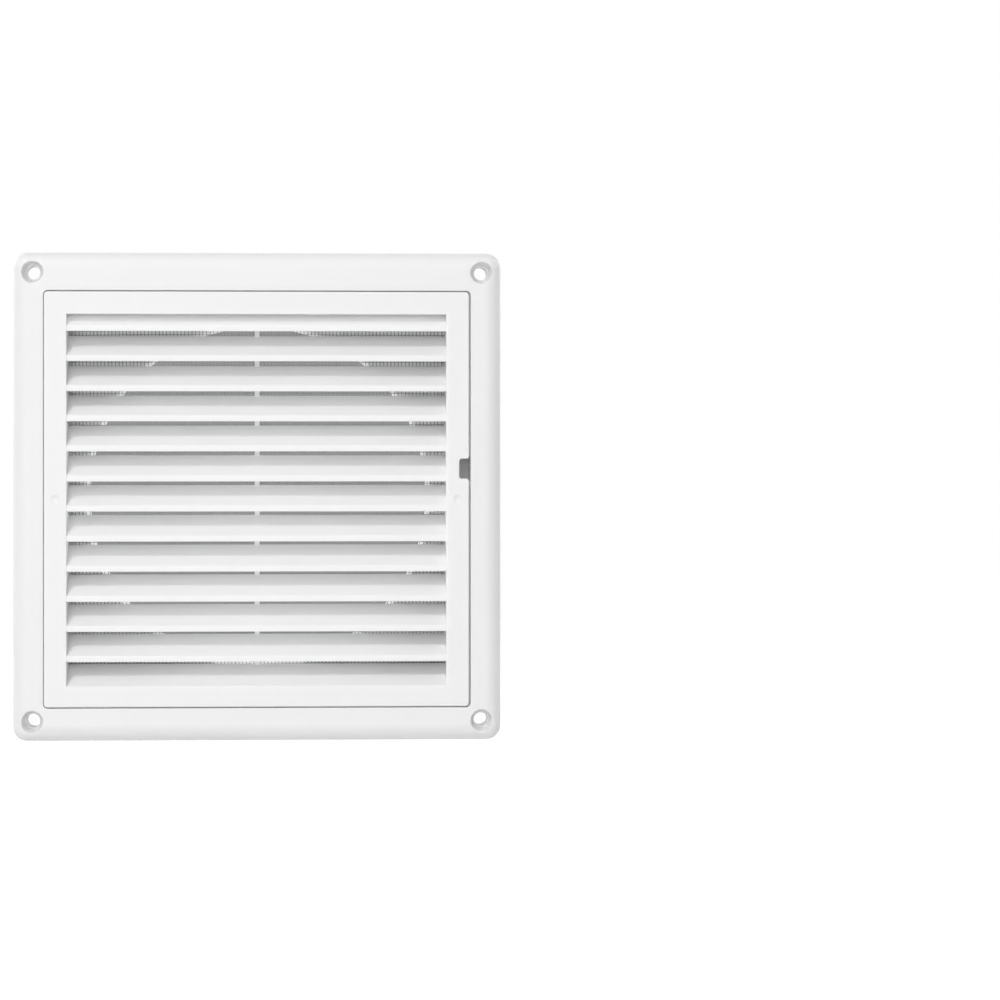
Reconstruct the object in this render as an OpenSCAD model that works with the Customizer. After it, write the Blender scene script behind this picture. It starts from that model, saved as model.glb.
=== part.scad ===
// Square vent grille for a wall, with a round duct spigot, a removable louvre panel and an insect screen.
// The origin lies on the spigot's axis in the plane of the wall. +Y runs into the wall along the spigot,
// the face looks towards -Y, and +Z is up.

/* [Frame] */
// Width and height of the square frame
frame_w = 200; // [196:1:240]
// Depth of the frame from the wall to its face
frame_d = 16; // [15:0.5:24]
// Corner radius of the frame's outline
corner_r = 6; // [4:0.5:10]
// Width of the rounded band round the face
crown_w = 6.8; // [4:0.1:8]
// Radius of that rounding
crown_r = 8; // [8:0.5:16]
// Wall of the moulding
wall = 2; // [1.5:0.1:2.5]
// Wall of the skirt where it meets the wall of the house
skirt_wall = 1.2; // [0.8:0.1:2]

/* [Duct spigot] */
// Outside diameter of the spigot
spigot_od = 147; // [95:1:150]
// Wall of the spigot
spigot_wall = 2.1; // [1.5:0.1:3]
// Length of the spigot behind the wall plane
spigot_l = 28; // [15:1:60]
// Chamfer on the spigot's end
spigot_chamfer = 0.8; // [0.2:0.1:1.2]

/* [Screw bosses] */
// Distance of a screw hole from the frame's outer edges
screw_inset = 8; // [7.5:0.05:9]
// Diameter of a screw hole
screw_d = 5.5; // [3.5:0.1:6]
// Diameter of the dish for the screw's head at the face
dish_d = 9; // [8:0.1:9.6]
// Diameter of the dish at its floor
dish_floor_d = 6.8; // [6.4:0.1:7.8]
// Depth of the dish
dish_depth = 6.5; // [3:0.5:11]
// Radius that eases the dish's edge at the face
dish_ease = 0.5; // [0.2:0.05:0.8]
// Outside diameter of the boss behind the dish
boss_d = 9.8; // [8:0.1:11]
// Thickness of the ribs that tie a boss to the rim and to the well
rib_t = 1.4; // [1:0.1:2.5]

/* [Louvre panel] */
// Width of the panel
panel_w = 174; // [168:1:176]
// Height of the panel
panel_h = 170; // [164:1:172]
// Thickness of the panel's border
panel_t = 3; // [2:0.1:4]
// Corner radius of the panel
panel_corner_r = 1.5; // [1:0.1:3]
// How far the panel's centre sits below the frame's
panel_drop = 1; // [0:0.1:1.5]
// Gap between the panel and its recess in the frame, with the panel in the middle
panel_gap = 0.5; // [0.4:0.05:1]
// How far the panel lies to the left of the middle
panel_shift = 0.25; // [0:0.05:0.35]
// Radius of the panel's front edges
edge_r = 0.4; // [0.2:0.05:0.8]
// Width of the border beside the window
border_side = 9.3; // [9:0.1:12]
// Width of the border above the window
border_top = 9.2; // [8.5:0.1:12]
// Width of the border below the window
border_bottom = 8.7; // [8.5:0.1:12]
// Wall round the window behind the border
window_wall = 2; // [1.2:0.1:2.2]

/* [Louvres] */
// Distance between one blade and the next
blade_pitch = 12.3; // [11:0.1:15]
// From the window's top edge down to the first blade's lower edge
first_blade = 7.2; // [4:0.1:10]
// Height of a blade's upright front face
blade_lip = 2.6; // [1.8:0.1:3.2]
// Height of a blade's rear edge
blade_tail = 1.3; // [0.8:0.1:2]
// Rise of a blade from front to back
blade_rise = 8.4; // [6:0.1:9]
// Depth of a blade from front to back
blade_depth = 11; // [8:0.1:12]
// Radius of a blade's long edges
blade_edge_r = 0.15; // [0.1:0.05:0.3]
// How far the blades stand back from the panel's face
blade_setback = 0.3; // [0.1:0.05:1]
// Thickness of the upright rib behind the blades
mullion_t = 2; // [1.2:0.1:3]
// How far the rib reaches forward past the blades' rear edges
mullion_reach = 0.8; // [0.3:0.1:4]

/* [Finger notch and moulding marks] */
// Depth of the notch in the panel's right edge
notch_depth = 4; // [2:0.1:5]
// Height of the notch
notch_h = 8.2; // [6:0.1:12]
// Height of the notch's centre above the spigot's axis
notch_z = 11.5; // [9:0.1:30]
// Radius of the notch's corners
notch_r = 1; // [0.5:0.1:2]
// How far the pocket behind the notch reaches above and below it
pocket_margin = 1; // [0.5:0.1:2]
// Diameter of a round moulding mark
mark_d = 4; // [2:0.1:5]
// Depth of a moulding mark
mark_depth = 0.45; // [0.1:0.05:0.6]

/* [Well and catches] */
// Width of the ledge that the panel's border rests on
ledge_w = 3; // [2:0.1:3.4]
// Thickness of the ledge
ledge_t = 2; // [1.5:0.1:3]
// Inner corner radius of the well
well_r = 1; // [0.5:0.1:2]
// Thickness of the back plate
plate_t = 2; // [1.5:0.1:3]
// Spacing of the three catches on each side
catch_pitch = 50; // [30:1:60]
// Height of a catch, and of the slot in the plate behind it
catch_h = 8; // [5:0.5:12]
// Thickness of a catch from front to back at its tip
catch_t = 1.2; // [0.8:0.1:1.6]
// Distance of a catch's rear face from the wall plane
catch_y = 6; // [5.5:0.1:7]
// Width of the slots in the plate
slot_w = 2.8; // [2:0.1:3.2]
// Thickness of a snap hook's tongue
hook_t = 1.4; // [1:0.1:1.6]
// Gap between a tongue and the catch it passes, on the side to which the panel is shifted
hook_gap = 0.2; // [0.1:0.05:0.4]
// How far a hook's barb reaches behind its catch, with the panel in the middle
hook_bite = 0.7; // [0.4:0.05:0.9]
// Gap between a barb's tip and the well's side, on the side to which the panel is shifted
barb_gap = 0.25; // [0.1:0.05:0.5]
// Play between a barb and its catch from front to back
hook_play = 0.2; // [0.1:0.05:0.4]
// Gap between a hook's end and the back plate
hook_end_gap = 0.5; // [0.2:0.1:1]

/* [Insect screen] */
// Thickness of the screen
screen_t = 0.6; // [0.4:0.05:1]
// Distance from one upright wire to the next
mesh_pitch = 1.5; // [1.4:0.05:3]
// Thickness of a wire
wire_d = 0.3; // [0.2:0.02:0.6]
// Selvedge along the screen's edges
selvedge = 1.2; // [0.8:0.1:3]
// How far the screen reaches past the wall that holds it
screen_margin = 0.7; // [0:0.1:1]

/* [Hidden] */
$fn = 64;

over = 1;      // a cut passes this far beyond the face that it opens
bond = 0.5;    // parts of one moulding run this far into each other
arc_steps = 5; // straight steps in a small rounded corner of a blade

face_y = -frame_d;
seat_y = face_y + panel_t;
plate_y = -plate_t;
screen_y = plate_y - screen_t;

recess_w = panel_w + 2 * panel_gap;
recess_h = panel_h + 2 * panel_gap;
recess_r = panel_corner_r + panel_gap;
well_w = recess_w - 2 * ledge_w;
well_h = recess_h - 2 * ledge_w;

window_w = panel_w - 2 * border_side;
window_h = panel_h - border_top - border_bottom;
window_z = (border_bottom - border_top) / 2;
skirt_w = window_w + 2 * window_wall;
skirt_h = window_h + 2 * window_wall;

crown_band = min(crown_w, crown_r);
inner_r = crown_r - wall;
inner_band = min(crown_band - skirt_wall, inner_r);

screw_x = frame_w / 2 - screw_inset;
cup_d = dish_d + 2 * wall;

last_blade = floor((window_h + blade_lip + blade_rise - first_blade) / blade_pitch);
blade_y = face_y + blade_setback;
blade_tail_y = blade_y + blade_depth;

catch_reach = hook_bite + panel_shift + barb_gap;
catch_x = well_w / 2 - catch_reach;
hook_x = catch_x - hook_gap - panel_shift;
barb_y = -catch_y + hook_play;
hook_end_y = plate_y - hook_end_gap;

screen_w = skirt_w + 2 * screen_margin;
screen_h = skirt_h + 2 * screen_margin;
gap_w = mesh_pitch - wire_d;
gap_count = floor((screen_w - 2 * selvedge + wire_d) / mesh_pitch);

function drop(band, r) = r - sqrt(r * r - band * band);

// An outline in X and Z, made solid from depth y0 back to depth y1.
module between(y0, y1) {
    translate([0, y1, 0]) rotate([90, 0, 0]) linear_extrude(y1 - y0) children();
}

// A section in Y and Z, made solid across the width w.
module across(w) {
    rotate([90, 0, 90]) linear_extrude(w, center = true) children();
}

module four_corners() {
    for (x = [0, 1], z = [0, 1]) mirror([x, 0, 0]) mirror([0, 0, z]) children();
}

module at_recess() {
    translate([0, 0, -panel_drop]) children();
}

module at_panel() {
    at_recess() translate([-panel_shift, 0, 0]) children();
}

module at_window() {
    translate([0, 0, window_z]) children();
}

module rounded_rect(w, h, r) {
    square([w - 2 * r, h], center = true);
    square([w, h - 2 * r], center = true);
    for (x = [-1, 1], z = [-1, 1]) translate([x * (w / 2 - r), z * (h / 2 - r)]) circle(r);
}

// Section through a crowned block: flat back on the first axis, rounded shoulders at the front.
module crown_section(w, depth, band, r) {
    difference() {
        translate([-w / 2, 0]) square([w, depth]);
        for (side = [0, 1]) mirror([side, 0]) difference() {
            translate([w / 2 - band, depth - drop(band, r)]) square([band + over, drop(band, r) + over]);
            translate([w / 2 - band, depth - r]) circle(r);
        }
    }
}

// A block with its back in the wall plane and its front edges and corners rounded into one another.
module crowned_block(w, h, depth, corner, band, r) {
    difference() {
        intersection() {
            linear_extrude(h, center = true) mirror([0, 1]) crown_section(w, depth, band, r);
            rotate([0, 90, 0]) linear_extrude(w, center = true) mirror([0, 1]) crown_section(h, depth, band, r);
        }
        four_corners() translate([w / 2 - corner, -depth - over, h / 2 - corner])
            cube([corner + over, depth + 2 * over, corner + over]);
    }
    four_corners() translate([w / 2 - corner, 0, h / 2 - corner]) rotate([90, 0, 0])
        rotate_extrude(angle = 90) intersection() {
            translate([corner - w / 2, 0]) crown_section(w, depth, band, r);
            square([corner, depth]);
        }
}

// A rectangular hole from depth y0 back to y1, its mouth at y0 eased outward by radius r.
module eased_hole(w, h, y0, y1, r) {
    intersection() {
        linear_extrude(h + 4 * r, center = true) eased_section(w, y0, y1, r);
        rotate([0, 90, 0]) linear_extrude(w + 4 * r, center = true) eased_section(h, y0, y1, r);
    }
}

module eased_section(w, y0, y1, r) {
    translate([-w / 2, y0 - over]) square([w, y1 - y0 + over]);
    for (side = [0, 1]) mirror([side, 0]) difference() {
        translate([w / 2 - r / 2, y0 - over]) square([r * 3 / 2, r + over]);
        translate([w / 2 + r, y0 + r]) circle(r);
    }
}

// Shell of the frame, hollow behind.
module frame_shell() {
    difference() {
        crowned_block(frame_w, frame_w, frame_d, corner_r, crown_band, crown_r);
        translate([0, over, 0]) crowned_block(frame_w - 2 * skirt_wall, frame_w - 2 * skirt_wall,
            frame_d - wall + over, corner_r - skirt_wall, inner_band, inner_r);
    }
}

// A boss round each screw hole, and the rib that runs through it from the rim to the well's corner.
module screw_bosses() {
    rim_reach = (frame_w / 2 - corner_r - screw_x) * sqrt(2) + corner_r - skirt_wall / 2;
    intersection() {
        crowned_block(frame_w, frame_w, frame_d, corner_r, crown_band, crown_r);
        union() for (x = [-1, 1], z = [-1, 1]) translate([x * screw_x, 0, z * screw_x]) {
            between(face_y + bond, face_y + dish_depth + wall) circle(d = cup_d);
            between(face_y + bond, 0) circle(d = boss_d);
            between(face_y + bond, 0) {
                rotate(atan2(z, x)) translate([0, -rib_t / 2]) square([rim_reach, rib_t]);
                well_dx = -x * (screw_x - well_w / 2);
                well_dz = -z * (screw_x - well_h / 2) - panel_drop;
                rotate(atan2(well_dz, well_dx)) translate([0, -rib_t / 2])
                    square([norm([well_dx, well_dz]), rib_t]);
            }
        }
    }
}

module screw_holes() {
    for (x = [-1, 1], z = [-1, 1]) translate([x * screw_x, 0, z * screw_x]) {
        between(face_y - over, over) circle(d = screw_d);
        translate([0, face_y, 0]) rotate([-90, 0, 0]) rotate_extrude() dish_section();
    }
}

// Half of a section through the dish for a screw's head: the radius, and the depth behind the face.
module dish_section() {
    polygon([
        [0, -over],
        [dish_d / 2, -over],
        [dish_d / 2, dish_ease],
        [dish_floor_d / 2, dish_depth],
        [0, dish_depth]
    ]);
    difference() {
        translate([dish_d / 4, -over]) square([dish_d / 4 + dish_ease, dish_ease + over]);
        translate([dish_d / 2 + dish_ease, dish_ease]) circle(dish_ease);
    }
}

// Outline of the pocket behind the finger notch, from the well's side to the recess' side.
module notch_pocket(grow) {
    height = notch_h + 2 * pocket_margin + 2 * grow;
    translate([well_w / 2 - bond, notch_z + panel_drop - height / 2])
        square([ledge_w + bond + grow, height]);
}

// The catches on the well's sides: a flat rear face, and a slope for the barb to ride over.
module catches() {
    for (z = [-1, 0, 1], side = [0, 1]) mirror([side, 0, 0]) translate([0, 0, z * catch_pitch])
        linear_extrude(catch_h, center = true) polygon([
            [well_w / 2 + bond, -catch_y],
            [catch_x, -catch_y],
            [catch_x, -catch_y - catch_t / 2],
            [well_w / 2, -catch_y - catch_t - catch_reach],
            [well_w / 2 + bond, -catch_y - catch_t - catch_reach]
        ]);
}

module catch_slots() {
    for (z = [-1, 0, 1], side = [0, 1]) mirror([side, 0, 0])
        translate([well_w / 2 - slot_w, plate_y - over, z * catch_pitch - catch_h / 2])
            cube([slot_w, plate_t + 2 * over, catch_h]);
}

module wall_frame() {
    color("white") {
        difference() {
            union() {
                frame_shell();
                screw_bosses();
                at_recess() {
                    between(face_y + bond, seat_y + ledge_t)
                        rounded_rect(recess_w + 2 * wall, recess_h + 2 * wall, recess_r + wall);
                    between(seat_y, 0) rounded_rect(well_w + 2 * wall, well_h + 2 * wall, well_r + wall);
                    between(seat_y, 0) notch_pocket(wall);
                }
                between(plate_y, spigot_l - spigot_chamfer) circle(d = spigot_od);
                translate([0, spigot_l - spigot_chamfer, 0]) rotate([-90, 0, 0])
                    cylinder(h = spigot_chamfer, d1 = spigot_od, d2 = spigot_od - 2 * spigot_chamfer);
            }
            at_recess() {
                between(face_y - over, seat_y) rounded_rect(recess_w, recess_h, recess_r);
                between(seat_y - over, plate_y) rounded_rect(well_w, well_h, well_r);
                between(seat_y - over, plate_y) notch_pocket(0);
            }
            between(plate_y - over, spigot_l + over) circle(d = spigot_od - 2 * spigot_wall);
            screw_holes();
            catch_slots();
        }
        catches();
    }
}

// Corner points of a rounded corner between the directions a and b, at the point p.
function rounded(p, a, b, r) = let(
        u = a / norm(a),
        v = b / norm(b),
        half = acos(u * v) / 2,
        mid = (u + v) / norm(u + v),
        centre = p + mid * r / sin(half),
        start = p + u * r / tan(half) - centre,
        end = p + v * r / tan(half) - centre,
        from = atan2(start[1], start[0]),
        turn = ((atan2(end[1], end[0]) - from + 540) % 360) - 180
    ) [for (i = [0:arc_steps]) centre + r * [cos(from + turn * i / arc_steps), sin(from + turn * i / arc_steps)]];

// Section of a blade in Y and Z, from the lower edge of its front face at the origin.
module blade_section() {
    corners = [
        [0, 0],
        [0, blade_lip],
        [blade_depth, blade_lip + blade_rise],
        [blade_depth, blade_lip + blade_rise - blade_tail]
    ];
    count = len(corners);
    polygon([for (i = [0:count - 1]) let(
            before = corners[(i + count - 1) % count] - corners[i],
            after = corners[(i + 1) % count] - corners[i]
        ) each rounded(corners[i], before, after, blade_edge_r)]);
}

// The blades and the rib behind them, run a little way into the wall round the window.
module louvres() {
    intersection() {
        between(face_y, screen_y) square([window_w + 2 * bond, window_h + 2 * bond], center = true);
        union() {
            for (i = [0:last_blade]) translate([0, blade_y, window_h / 2 - first_blade - i * blade_pitch])
                across(window_w + 4 * bond) blade_section();
            between(blade_tail_y - mullion_reach, screen_y)
                square([mullion_t, window_h + 4 * bond], center = true);
        }
    }
}

// A snap hook: a tongue from the border's back, with a barb that closes behind its catch.
module hook() {
    linear_extrude(catch_h - 2 * hook_gap, center = true) polygon([
        [hook_x - hook_t, seat_y - bond],
        [hook_x, seat_y - bond],
        [hook_x, barb_y],
        [hook_x + hook_gap + hook_bite, barb_y],
        [hook_x, hook_end_y],
        [hook_x - hook_t, hook_end_y]
    ]);
}

// A notch for a fingertip or a tool in the panel's right edge, its mouth eased.
module finger_notch() {
    between(face_y - over, seat_y + over) translate([panel_w / 2, notch_z + panel_drop]) {
        translate([over - notch_depth / 2, 0]) rounded_rect(notch_depth + 2 * over, notch_h, notch_r);
        for (side = [0, 1]) mirror([0, side]) difference() {
            translate([-notch_r, notch_h / 2 - over]) square([notch_r + over, notch_r + over]);
            translate([-notch_r, notch_h / 2 + notch_r]) circle(notch_r);
        }
    }
}

module moulding_marks() {
    ball_r = (mark_d * mark_d / 4 + mark_depth * mark_depth) / 2 / mark_depth;
    for (x = [-1, 1]) translate([x * (window_w + border_side) / 2, face_y - ball_r + mark_depth, 0])
        sphere(ball_r);
}

module louvre_panel() {
    color("white") at_panel() {
        difference() {
            union() {
                translate([0, seat_y, 0])
                    crowned_block(panel_w, panel_h, panel_t, panel_corner_r, edge_r, edge_r);
                at_window() between(seat_y - bond, screen_y) square([skirt_w, skirt_h], center = true);
            }
            at_window() eased_hole(window_w, window_h, face_y, over, edge_r);
            finger_notch();
            moulding_marks();
        }
        at_window() louvres();
        for (z = [-1, 0, 1], side = [0, 1]) mirror([side, 0, 0])
            translate([0, 0, z * catch_pitch + panel_drop]) hook();
    }
}

// The screen's upright wires at their true spacing, held in a selvedge. The cross wires are left out.
module insect_screen() {
    color("silver") at_panel() at_window() between(screen_y, plate_y) difference() {
        square([screen_w, screen_h], center = true);
        for (i = [0:gap_count - 1]) translate([(i - (gap_count - 1) / 2) * mesh_pitch, 0])
            square([gap_w, screen_h - 2 * selvedge], center = true);
    }
}

wall_frame();
louvre_panel();
insect_screen();
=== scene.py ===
# A square wall vent grille: one white moulding that screws to the wall, a sheet of insect mesh in its well,
# and a louvre panel that clips in over the mesh. The pieces follow in the order in which they go together.
import math

import bpy
import numpy as np
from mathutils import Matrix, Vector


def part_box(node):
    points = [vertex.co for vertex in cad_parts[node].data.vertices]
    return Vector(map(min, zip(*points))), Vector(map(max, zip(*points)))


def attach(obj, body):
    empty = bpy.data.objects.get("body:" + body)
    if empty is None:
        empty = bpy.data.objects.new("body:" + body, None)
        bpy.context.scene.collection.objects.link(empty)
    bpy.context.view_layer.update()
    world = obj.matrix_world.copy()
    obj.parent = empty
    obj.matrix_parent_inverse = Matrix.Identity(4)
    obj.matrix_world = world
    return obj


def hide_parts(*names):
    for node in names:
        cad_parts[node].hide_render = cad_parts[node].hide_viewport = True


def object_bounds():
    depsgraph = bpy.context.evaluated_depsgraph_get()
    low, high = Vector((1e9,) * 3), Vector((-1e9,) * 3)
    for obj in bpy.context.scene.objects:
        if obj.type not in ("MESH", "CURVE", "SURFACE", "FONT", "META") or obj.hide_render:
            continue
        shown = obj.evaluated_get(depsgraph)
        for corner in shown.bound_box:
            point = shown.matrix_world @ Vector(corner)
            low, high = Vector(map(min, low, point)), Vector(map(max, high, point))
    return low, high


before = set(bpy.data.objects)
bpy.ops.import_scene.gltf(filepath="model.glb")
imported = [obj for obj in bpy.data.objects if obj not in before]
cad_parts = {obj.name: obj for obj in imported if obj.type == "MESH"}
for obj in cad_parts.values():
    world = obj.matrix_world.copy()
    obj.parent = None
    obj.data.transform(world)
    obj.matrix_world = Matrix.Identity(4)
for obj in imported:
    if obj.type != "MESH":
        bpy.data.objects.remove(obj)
cad_low, cad_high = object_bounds()


# Wall frame: a single injection moulding in white ABS, with its band, recess, screw bosses and duct spigot.
# The steel tool was spark eroded finely, so the surface is satin, and the plastic shrank a little as it set.
MM = 0.001


def linear(hex_colour):
    """The linear colour of an sRGB hex value."""
    parts = [int(hex_colour[i:i + 2], 16) / 255 for i in (1, 3, 5)]
    return [c / 12.92 if c <= 0.04045 else ((c + 0.055) / 1.055) ** 2.4 for c in parts] + [1.0]


def add(tree, kind, inputs, **settings):
    """Adds a node. Each input is a value, or the socket that it is linked to."""
    made = tree.nodes.new(kind)
    for name, value in settings.items():
        setattr(made, name, value)
    for name, value in inputs.items():
        if isinstance(value, bpy.types.NodeSocket):
            tree.links.new(value, made.inputs[name])
        else:
            made.inputs[name].default_value = value
    return made


def new_material(name):
    """An empty material with its output node."""
    material = bpy.data.materials.new(name)
    material.use_nodes = True
    tree = material.node_tree
    tree.nodes.clear()
    return material, tree, tree.nodes.new("ShaderNodeOutputMaterial")


def moulded_abs(name, white, flow_white):
    """Satin white ABS. Light goes a millimetre into it, and a broad dull highlight follows its edges."""
    light_depth = 1.0 * MM
    material, tree, output = new_material(name)
    place = tree.nodes.new("ShaderNodeTexCoord").outputs["Object"]
    # The white changes a shade along the flow of the melt, over a few centimetres.
    flow_size = 60 * MM
    flow = add(tree, "ShaderNodeTexNoise", {"Vector": place, "Scale": 1 / flow_size, "Detail": 2.0})
    colour = add(tree, "ShaderNodeMix", {"Factor": flow.outputs["Fac"], "A": linear(white),
                                         "B": linear(flow_white)}, data_type="RGBA")
    # The erosion marks of the tool, 0.05 mm across on the real part, are drawn ten times as wide to show.
    grain_size = 0.5 * MM
    grain_depth = 0.004 * MM
    glossiest, dullest = 0.38, 0.5
    grain = add(tree, "ShaderNodeTexNoise", {"Vector": place, "Scale": 1 / grain_size, "Detail": 3.0})
    gloss = add(tree, "ShaderNodeMapRange", {"Value": grain.outputs["Fac"], "To Min": glossiest,
                                             "To Max": dullest})
    # Uneven shrinkage leaves a faint ripple, about a centimetre from crest to crest.
    ripple_size = 9 * MM
    ripple_depth = 0.012 * MM
    ripple = add(tree, "ShaderNodeTexNoise", {"Vector": place, "Scale": 1 / ripple_size, "Detail": 1.0})
    waves = add(tree, "ShaderNodeBump", {"Height": ripple.outputs["Fac"], "Strength": 1.0,
                                         "Distance": ripple_depth})
    marks = add(tree, "ShaderNodeBump", {"Height": grain.outputs["Fac"], "Strength": 1.0,
                                         "Distance": grain_depth, "Normal": waves.outputs["Normal"]})
    shader = add(tree, "ShaderNodeBsdfPrincipled", {
        "Base Color": colour.outputs["Result"],
        "Roughness": gloss.outputs["Result"],
        "IOR": 1.53,
        "Subsurface Weight": 1.0,
        "Subsurface Radius": (1.0, 1.0, 1.0),
        "Subsurface Scale": light_depth,
        "Normal": marks.outputs["Normal"],
    })
    tree.links.new(shader.outputs["BSDF"], output.inputs["Surface"])
    return material


def finish_node(node, material):
    """Gives a carried-over solid its material in every slot."""
    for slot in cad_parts[node].material_slots:
        slot.material = material


finish_node("wall_frame", moulded_abs("satin_abs_frame", "#F3F3F3", "#F1F1F1"))


# Insect screen: one sheet of plain-woven aluminium wire, cut to size and dropped into the well before the
# panel. Each wire goes over one and under the next, and the cross wires wander a little, as rolled mesh does.
SCREEN_LOW, SCREEN_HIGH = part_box("insect_screen")
WIRE_R = 0.145 * MM
WARP_PITCH = 1.5 * MM
WEFT_PITCH = 1.62 * MM
WIRE_SIDES = 6


def crossings():
    """Where the wires cross: X and Z of each crossing, and the side on which the upright wire passes."""
    spare = 0.6 * MM
    centre = (SCREEN_LOW + SCREEN_HIGH) / 2
    half_w = (SCREEN_HIGH.x - SCREEN_LOW.x) / 2 - spare
    half_h = (SCREEN_HIGH.z - SCREEN_LOW.z) / 2 - spare
    across = int(half_w / WARP_PITCH)
    along = int(half_h / WEFT_PITCH)
    i, j = np.meshgrid(np.arange(-across, across + 1), np.arange(-along, along + 1), indexing="ij")
    x = i * WARP_PITCH
    z = j * WEFT_PITCH
    # A long and a short wave carry each cross wire off its line, each a little ahead of the last wire's.
    long_wave, long_length, long_lead = 0.16 * MM, 31 * MM, 0.035
    short_wave, short_length, short_lead = 0.07 * MM, 9 * MM, 0.31
    drift = (long_wave * np.sin(x / long_length + j * long_lead)
             + short_wave * np.sin(x / short_length + j * short_lead))
    # The upright wires are held tighter on the loom, so they lean less.
    lean_wave, lean_length, lean_lead = 0.05 * MM, 24 * MM, 0.11
    lean = lean_wave * np.sin(z / lean_length + i * lean_lead)
    over = np.where((i + j) % 2 == 0, 1.0, -1.0)
    return centre.x + x + lean, centre.z + z + drift, over, centre.y


def wires(name, x, z, lift, along_z):
    """One mesh of tubes. Row k of the arrays is the path of wire k, and lift is its place in Y."""
    count, steps = x.shape
    turn = np.arange(WIRE_SIDES) * 2 * math.pi / WIRE_SIDES
    ring_out = WIRE_R * np.cos(turn)
    ring_side = WIRE_R * np.sin(turn)
    points = np.empty((count, steps, WIRE_SIDES, 3))
    points[..., 1] = lift[:, :, None] + ring_out
    points[..., 0] = x[:, :, None] + (ring_side if along_z else 0)
    points[..., 2] = z[:, :, None] + (0 if along_z else ring_side)
    wire, step, side = np.meshgrid(np.arange(count), np.arange(steps - 1), np.arange(WIRE_SIDES),
                                   indexing="ij")
    start = (wire * steps + step) * WIRE_SIDES
    beside = (side + 1) % WIRE_SIDES
    corners = [start + side, start + beside, start + WIRE_SIDES + beside, start + WIRE_SIDES + side]
    if not along_z:
        corners.reverse()
    faces = np.stack(corners, axis=-1).reshape(-1, 4).tolist()
    for k in range(count):
        first = [k * steps * WIRE_SIDES + s for s in range(WIRE_SIDES)]
        last = [s + (steps - 1) * WIRE_SIDES for s in first]
        faces.append(first[::-1] if along_z else first)
        faces.append(last if along_z else last[::-1])
    mesh = bpy.data.meshes.new(name)
    mesh.from_pydata(points.reshape(-1, 3).tolist(), [], faces)
    mesh.polygons.foreach_set("use_smooth", [True] * len(mesh.polygons))
    mesh.update()
    made = bpy.data.objects.new(name, mesh)
    bpy.context.scene.collection.objects.link(made)
    return made


def drawn_aluminium():
    """Thin aluminium wire, dulled by oxide: grey, with a soft glint along its upper side."""
    material, tree, output = new_material("dull_drawn_aluminium")
    place = tree.nodes.new("ShaderNodeTexCoord").outputs["Object"]
    oxide_size = 2.5 * MM
    brightest, dullest = 0.34, 0.5
    oxide = add(tree, "ShaderNodeTexNoise", {"Vector": place, "Scale": 1 / oxide_size, "Detail": 4.0})
    colour = add(tree, "ShaderNodeMix", {"Factor": oxide.outputs["Fac"], "A": linear("#A2A4A6"),
                                         "B": linear("#86888A")}, data_type="RGBA")
    rough = add(tree, "ShaderNodeMapRange", {"Value": oxide.outputs["Fac"], "To Min": brightest,
                                             "To Max": dullest})
    shader = add(tree, "ShaderNodeBsdfPrincipled", {
        "Base Color": colour.outputs["Result"],
        "Roughness": rough.outputs["Result"],
        "Metallic": 1.0,
    })
    tree.links.new(shader.outputs["BSDF"], output.inputs["Surface"])
    return material


cross_x, cross_z, cross_over, screen_y = crossings()
aluminium = drawn_aluminium()
warp = wires("screen_warp", cross_x, cross_z, screen_y + cross_over * WIRE_R, True)
weft = wires("screen_weft", cross_x.T, cross_z.T, screen_y - cross_over.T * WIRE_R, False)
for wire_set in (warp, weft):
    wire_set.data.materials.append(aluminium)
    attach(wire_set, "root")
    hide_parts("insect_screen")


# Louvre panel: a second white ABS moulding, thirteen sloping blades in a flat border with snap hooks behind.
# It is pressed in last, and its hooks close behind the catches in the well. Same finish, another tool.
finish_node("louvre_panel", moulded_abs("satin_abs_panel", "#F4F4F4", "#F6F6F6"))


# The setting: a pale floor well below, a plain white surround, and a grey glowing disc of painted shade for
# the dark inside of a duct, which the photograph shows through the gaps between the blades. None of it
# belongs to the grille.
def setting_plane(name, corners):
    """A flat face through the given corners, which isn't part of the object."""
    mesh = bpy.data.meshes.new(name)
    mesh.from_pydata(corners, [], [list(range(len(corners)))])
    made = bpy.data.objects.new(name, mesh)
    bpy.context.scene.collection.objects.link(made)
    return made


def seen_directly(tree):
    """A socket that is 1 for rays from the camera and for mirrored or transmitted ones, and otherwise 0."""
    path = tree.nodes.new("ShaderNodeLightPath")
    seen_or_mirrored = add(tree, "ShaderNodeMath", {0: path.outputs["Is Camera Ray"],
                                                    1: path.outputs["Is Glossy Ray"]}, operation="MAXIMUM")
    seen = add(tree, "ShaderNodeMath", {0: seen_or_mirrored.outputs[0],
                                        1: path.outputs["Is Transmission Ray"]}, operation="MAXIMUM")
    return seen.outputs[0]


FLOOR_Z = -0.5
FLOOR_HALF = 6.0
# Added to the floor where it is seen, so that it is white in the picture and still holds the shadow.
FLOOR_GLOW = 0.78

floor = setting_plane("floor", [(-FLOOR_HALF, -FLOOR_HALF, FLOOR_Z), (FLOOR_HALF, -FLOOR_HALF, FLOOR_Z),
                                (FLOOR_HALF, FLOOR_HALF, FLOOR_Z), (-FLOOR_HALF, FLOOR_HALF, FLOOR_Z)])
floor_paint, tree, output = new_material("white_floor")
lift = add(tree, "ShaderNodeMath", {0: seen_directly(tree), 1: FLOOR_GLOW}, operation="MULTIPLY")
matt = add(tree, "ShaderNodeBsdfDiffuse", {"Color": linear("#E6E6E6")})
glow = add(tree, "ShaderNodeEmission", {"Color": linear("#FFFFFF"), "Strength": lift.outputs[0]})
both = add(tree, "ShaderNodeAddShader", {0: matt.outputs["BSDF"], 1: glow.outputs["Emission"]})
tree.links.new(both.outputs["Shader"], output.inputs["Surface"])
floor.data.materials.append(floor_paint)
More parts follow.
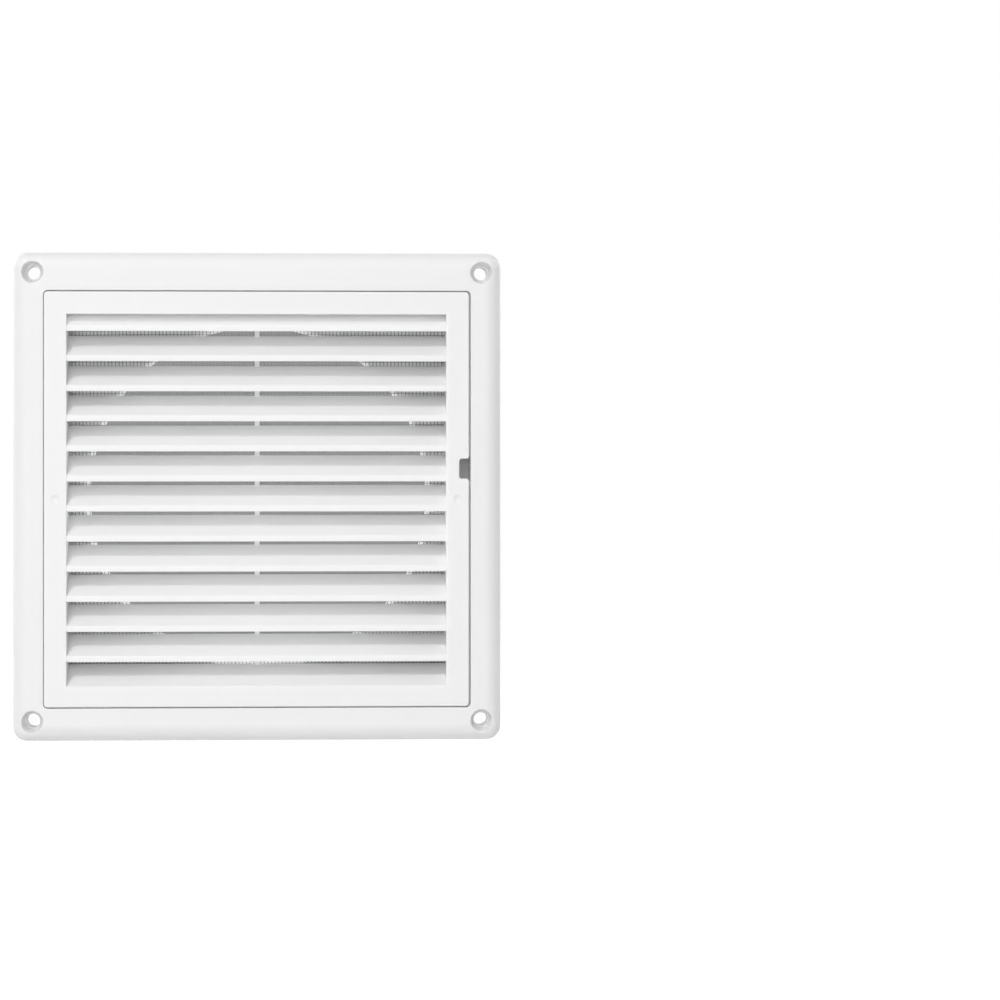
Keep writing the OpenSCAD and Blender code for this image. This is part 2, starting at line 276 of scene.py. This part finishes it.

# The disc lies just inside the mouth of the spigot. It shows only to the camera, and only from the front. It
# is painted shade: a sheet that glows a flat grey in place of the shaded inside of the duct.
DUCT_R = 71.2 * MM
DUCT_Y = 27 * MM
DUCT_SIDES = 64

duct = setting_plane("duct_painted_shade", [
    (DUCT_R * math.cos(2 * math.pi * k / DUCT_SIDES), DUCT_Y, DUCT_R * math.sin(2 * math.pi * k / DUCT_SIDES))
    for k in range(DUCT_SIDES)
])
duct_painted_shade, tree, output = new_material("duct_painted_shade")
path = tree.nodes.new("ShaderNodeLightPath")
side = tree.nodes.new("ShaderNodeNewGeometry")
from_front = add(tree, "ShaderNodeMath", {0: 1.0, 1: side.outputs["Backfacing"]}, operation="SUBTRACT")
shows = add(tree, "ShaderNodeMath", {0: path.outputs["Is Camera Ray"], 1: from_front.outputs[0]},
            operation="MULTIPLY")
clear = add(tree, "ShaderNodeBsdfTransparent", {})
# Painted shade: a flat grey glow that stands for the shaded inside of the duct.
painted_shade_glow = add(tree, "ShaderNodeEmission", {"Color": linear("#969696"), "Strength": 1.0})
mixed = add(tree, "ShaderNodeMixShader", {0: shows.outputs[0], 1: clear.outputs["BSDF"],
                                          2: painted_shade_glow.outputs["Emission"]})
tree.links.new(mixed.outputs["Shader"], output.inputs["Surface"])
duct.data.materials.append(duct_painted_shade)

# The surround is white where it is seen, and lights the grille at a quarter of that.
WORLD_LIGHT = 0.24

surround = bpy.data.worlds.new("studio")
bpy.context.scene.world = surround
surround.use_nodes = True
tree = surround.node_tree
tree.nodes.clear()
output = tree.nodes.new("ShaderNodeOutputWorld")
level = add(tree, "ShaderNodeMapRange", {"Value": seen_directly(tree), "To Min": WORLD_LIGHT, "To Max": 1.0})
sky = add(tree, "ShaderNodeBackground", {"Color": linear("#FFFFFF"), "Strength": level.outputs["Result"]})
tree.links.new(sky.outputs["Background"], output.inputs["Surface"])


def aimed_light(name, kind, place, energy):
    """A light at the given place, turned towards the grille. A sun's energy is in W/m2, a lamp's in W."""
    lamp = bpy.data.objects.new(name, bpy.data.lights.new(name, kind))
    bpy.context.scene.collection.objects.link(lamp)
    lamp.data.energy = energy
    lamp.location = place
    lamp.rotation_mode = "QUATERNION"
    lamp.rotation_quaternion = lamp.location.to_track_quat("Z", "Y")
    return lamp


def softbox(name, place, width, height, energy, grid=180):
    """A flat lamp behind a diffusing cloth of the given size. A grid narrows its light to so many degrees."""
    lamp = aimed_light(name, "AREA", place, energy)
    lamp.data.shape = "RECTANGLE"
    lamp.data.size = width
    lamp.data.size_y = height
    lamp.data.spread = math.radians(grid)


# The lamps follow the photograph's shadows. A small high key on the left makes the step of shade on each
# blade, and soft light from the camera's side reaches in under the lips. The top edge and the back have
# lamps with grids, which keep their light off the floor, so that it doesn't come back to the face.
key = aimed_light("key", "SUN", (-0.53, -1.0, 1.15), 0.8)
key.data.angle = math.radians(9)
softbox("softbox_upper_left", (-0.65, -1.2, 0.70), 1.7, 0.95, 5.1)
softbox("softbox_low_left", (-0.42, -1.25, -0.05), 0.35, 0.35, 1.7)
softbox("softbox_camera", (0.0, -1.6, 0.2), 0.8, 0.8, 3.5)
softbox("softbox_right", (1.5, -0.8, 0.1), 0.9, 1.2, 1.75)
softbox("softbox_top", (-0.2, -0.5, 1.3), 0.6, 0.6, 0.15, grid=60)
for behind, x in (("softbox_behind_left", 1.2), ("softbox_behind_right", -1.2)):
    softbox(behind, (x, 1.0, 0.45), 0.8, 0.8, 1.8, grid=60)

# The camera stands where the photograph's did, 1.1 m in front of the face and a little up and to the right.
# The grille fills the left half of the frame, as in the photograph, and a small shift keeps its edges square.
CAMERA_DISTANCE = 1100 * MM
CAMERA_X = 9 * MM
CAMERA_Z = 21 * MM
SENSOR_WIDTH = 36
PIXELS_PER_MM = 2.44
FRAME_PIXELS = 1000
PRINCIPAL_X = 279.5
PRINCIPAL_Y = 445.5
SHIFT_X = 0.12

camera = bpy.data.objects.new("camera", bpy.data.cameras.new("camera"))
bpy.context.scene.collection.objects.link(camera)
bpy.context.scene.camera = camera
focal_pixels = PIXELS_PER_MM * CAMERA_DISTANCE / MM
camera.data.sensor_width = SENSOR_WIDTH
camera.data.lens = focal_pixels / FRAME_PIXELS * SENSOR_WIDTH
camera.data.shift_x = SHIFT_X
camera.data.shift_y = (PRINCIPAL_Y - FRAME_PIXELS / 2) / FRAME_PIXELS
yaw = math.atan((FRAME_PIXELS / 2 - PRINCIPAL_X - SHIFT_X * FRAME_PIXELS) / focal_pixels)
camera.location = (CAMERA_X, cad_low.y - CAMERA_DISTANCE, CAMERA_Z)
camera.rotation_euler = (math.radians(90), 0, -yaw)

bpy.context.scene.view_settings.view_transform = "Standard"
